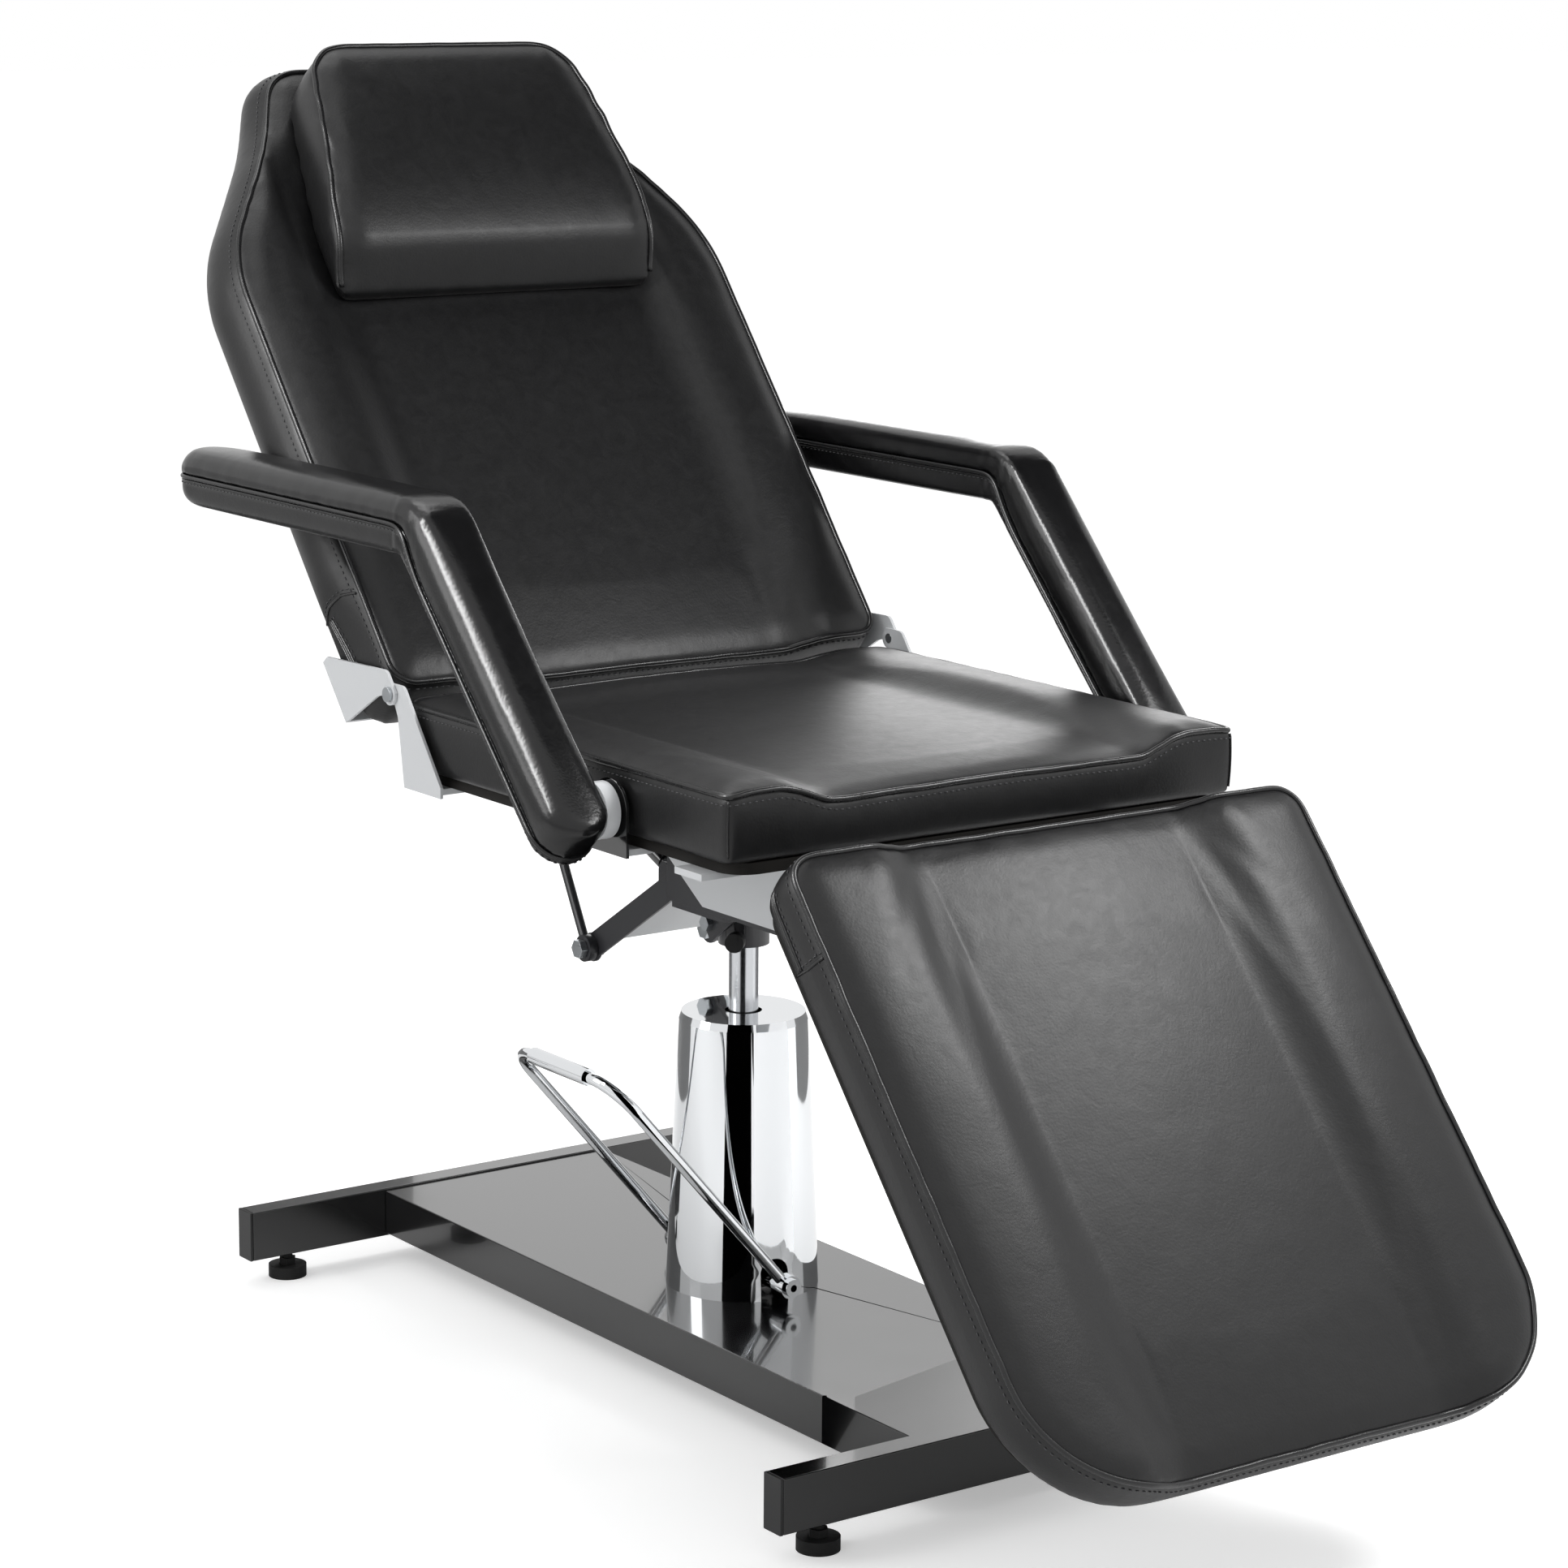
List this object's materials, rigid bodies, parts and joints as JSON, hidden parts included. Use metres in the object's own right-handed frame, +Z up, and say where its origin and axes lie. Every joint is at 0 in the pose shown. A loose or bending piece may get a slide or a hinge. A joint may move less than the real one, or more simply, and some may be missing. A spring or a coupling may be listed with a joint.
{
  "type": "tattoo chair",
  "caption": "Hydraulic folding tattoo chair with reclining back, leg rest, turning seat, padded armrests and a foot pump on a two-footed base.",
  "frame": {"origin": "on the floor, in the middle of the whole chair's length and width", "axes": "+Z up, -Y towards the leg rest, +Y towards the headrest, -X on the sitter's right"},
  "size_m": [0.712, 1.4856, 1.2189],
  "materials": {
    "black_leather": "satin black upholstery leather",
    "painted_black": "gloss black powder coat",
    "dark_arm_steel": "semi-gloss dark grey paint",
    "silver_paint": "satin silver paint",
    "chrome": "polished chrome plating",
    "piston_steel": "ground and polished steel rod",
    "zinc_steel": "bright zinc plating",
    "black_plastic": "moulded black plastic",
    "black_rubber": "moulded black rubber",
    "board_wood": "plain plywood"
  },
  "bodies": {
    "base": {"base_channel": "painted_black", "crossfoot_front": "painted_black", "crossfoot_rear": "painted_black", "crossfoot_end_caps": "black_plastic", "pump_cover": "chrome", "pump_body": "painted_black", "pump_bolts": "zinc_steel"},
    "pedal": {"pedal_shaft": "chrome", "pedal_loop": "chrome", "pedal_tread": "chrome"},
    "piston": {"piston_rod": "piston_steel"},
    "seat_frame": {"swivel_head": "dark_arm_steel", "swivel_head_cheeks": "dark_arm_steel", "swivel_head_bolts": "zinc_steel", "beam_sleeve": "dark_arm_steel", "back_arm_sides": "dark_arm_steel", "back_arm_box": "silver_paint", "leg_arm_sides": "dark_arm_steel", "leg_arm_box": "silver_paint", "seat_mount_plates": "silver_paint", "seat_straps": "silver_paint", "seat_board": "board_wood", "seat_cushion": "black_leather", "seat_hinge_brackets": "silver_paint", "back_hinge_rivets": "zinc_steel", "leg_hinge_lugs": "silver_paint", "leg_hinge_pins": "zinc_steel", "link_pivot_bolts": "zinc_steel", "strut_anchors": "dark_arm_steel", "armrest_mounts": "silver_paint"},
    "swivel_lock": {"swivel_lock_knob": "black_plastic"},
    "backrest": {"back_cushion": "black_leather", "back_board": "board_wood", "back_hinge_brackets": "silver_paint", "back_tracks": "dark_arm_steel"},
    "pillow": {"headrest_pillow": "black_leather"},
    "legrest": {"leg_cushion": "black_leather", "leg_board": "board_wood", "leg_hinge_plates": "silver_paint", "leg_tracks": "dark_arm_steel"},
    "armrest_left": {"armrest_pad_left": "black_leather", "armrest_core_left": "black_leather", "armrest_disc_left": "silver_paint"},
    "armrest_right": {"armrest_pad_right": "black_leather", "armrest_core_right": "black_leather", "armrest_disc_right": "silver_paint"},
    "back_link": {"back_yoke": "dark_arm_steel"},
    "leg_link": {"leg_yoke": "dark_arm_steel"},
    "back_strut": {"back_strut_body": "painted_black"},
    "back_strut_rod_end": {"back_strut_rod": "piston_steel"},
    "leg_strut": {"leg_strut_body": "painted_black"},
    "leg_strut_rod_end": {"leg_strut_rod": "piston_steel"},
    "back_release": {"back_release_lever": "dark_arm_steel", "back_release_grip": "black_plastic"},
    "leg_release": {"leg_release_lever": "dark_arm_steel", "leg_release_grip": "black_plastic"},
    "foot_front_right": {"levelling_foot_front_right": "black_rubber"},
    "foot_front_left": {"levelling_foot_front_left": "black_rubber"},
    "foot_rear_right": {"levelling_foot_rear_right": "black_rubber"},
    "foot_rear_left": {"levelling_foot_rear_left": "black_rubber"}
  },
  "joints": [
    {"name": "levelling_foot_front_right_screw", "type": "hinge", "parent": "base", "child": "foot_front_right", "pos_m": [-0.24, -0.37154, 0], "axis": [0, 0, 1], "continuous": true},
    {"name": "levelling_foot_front_left_screw", "type": "hinge", "parent": "base", "child": "foot_front_left", "pos_m": [0.24, -0.37154, 0], "axis": [0, 0, 1], "continuous": true},
    {"name": "levelling_foot_rear_right_screw", "type": "hinge", "parent": "base", "child": "foot_rear_right", "pos_m": [-0.24, 0.53546, 0], "axis": [0, 0, 1], "continuous": true},
    {"name": "levelling_foot_rear_left_screw", "type": "hinge", "parent": "base", "child": "foot_rear_left", "pos_m": [0.24, 0.53546, 0], "axis": [0, 0, 1], "continuous": true},
    {"name": "pedal_press", "type": "hinge", "parent": "base", "child": "pedal", "pos_m": [-0.012, 0.08196, 0.092], "axis": [0, -1, 0], "range_deg": [0, 35], "stiffness_Nm_per_rad": 1.6, "springref_deg": -50},
    {"name": "piston_lift", "type": "slide", "parent": "base", "child": "piston", "axis": [0, 0, 1], "range_m": [-0.062, 0.1]},
    {"name": "seat_swivel", "type": "hinge", "parent": "piston", "child": "seat_frame", "pos_m": [0, 0.08196, 0.423], "axis": [0, 0, 1], "continuous": true},
    {"name": "swivel_lock_turn", "type": "hinge", "parent": "seat_frame", "child": "swivel_lock", "pos_m": [0, 0.08196, 0.413], "axis": [-0.7071, -0.7071, 0], "continuous": true},
    {"name": "backrest_recline", "type": "hinge", "parent": "seat_frame", "child": "backrest", "pos_m": [0, 0.23796, 0.643], "axis": [1, 0, 0], "range_deg": [-51, 9]},
    {"name": "legrest_raise", "type": "hinge", "parent": "seat_frame", "child": "legrest", "pos_m": [0, -0.29004, 0.541], "axis": [1, 0, 0], "range_deg": [-50, 0]},
    {"name": "pillow_height", "type": "slide", "parent": "backrest", "child": "pillow", "axis": [0, 0.6293, 0.7771], "range_m": [-0.06, 0.02]},
    {"name": "armrest_left_turn", "type": "hinge", "parent": "seat_frame", "child": "armrest_left", "pos_m": [0.297, -0.12304, 0.598], "axis": [1, 0, 0], "range_deg": [-25, 45]},
    {"name": "armrest_right_turn", "type": "hinge", "parent": "seat_frame", "child": "armrest_right", "pos_m": [-0.297, -0.12304, 0.598], "axis": [1, 0, 0], "range_deg": [-25, 45]},
    {"name": "back_link_swing", "type": "hinge", "parent": "seat_frame", "child": "back_link", "pos_m": [0, 0.23596, 0.376], "axis": [1, 0, 0], "range_deg": [-32.5, 6]},
    {"name": "leg_link_swing", "type": "hinge", "parent": "seat_frame", "child": "leg_link", "pos_m": [0, -0.30304, 0.376], "axis": [1, 0, 0], "range_deg": [-63, 0.5]},
    {"name": "back_strut_swing", "type": "hinge", "parent": "seat_frame", "child": "back_strut", "pos_m": [-0.045, 0.13196, 0.468], "axis": [1, 0, 0], "range_deg": [-22, 4.5]},
    {"name": "back_strut_stroke", "type": "slide", "parent": "back_strut", "child": "back_strut_rod_end", "axis": [0, 0.9215, 0.3884], "range_m": [-0.0125, 0.063]},
    {"name": "leg_strut_swing", "type": "hinge", "parent": "seat_frame", "child": "leg_strut", "pos_m": [0.045, -0.18804, 0.49], "axis": [1, 0, 0], "range_deg": [-36, 0.5]},
    {"name": "leg_strut_stroke", "type": "slide", "parent": "leg_strut", "child": "leg_strut_rod_end", "axis": [0, -0.7888, -0.6146], "range_m": [-0.0725, 0.001]},
    {"name": "back_release_pull", "type": "hinge", "parent": "backrest", "child": "back_release", "pos_m": [-0.1045, 0.52046, 0.82342], "axis": [1, 0, 0], "range_deg": [0, 20], "stiffness_Nm_per_rad": 0.6, "springref_deg": -25},
    {"name": "leg_release_pull", "type": "hinge", "parent": "legrest", "child": "leg_release", "pos_m": [-0.1045, -0.50905, 0.29399], "axis": [1, 0, 0], "range_deg": [0, 20], "stiffness_Nm_per_rad": 0.6, "springref_deg": -25}
  ],
  "couplings": [
    {"joint": "back_link_swing", "follows": "backrest_recline", "ratio": 0.631},
    {"joint": "back_strut_swing", "follows": "backrest_recline", "ratio": 0.4235},
    {"joint": "back_strut_stroke", "follows": "backrest_recline", "m_per_rad": -0.07},
    {"joint": "leg_link_swing", "follows": "legrest_raise", "ratio": 1.248},
    {"joint": "leg_strut_swing", "follows": "legrest_raise", "ratio": 0.702},
    {"joint": "leg_strut_stroke", "follows": "legrest_raise", "m_per_rad": 0.082}
  ]
}
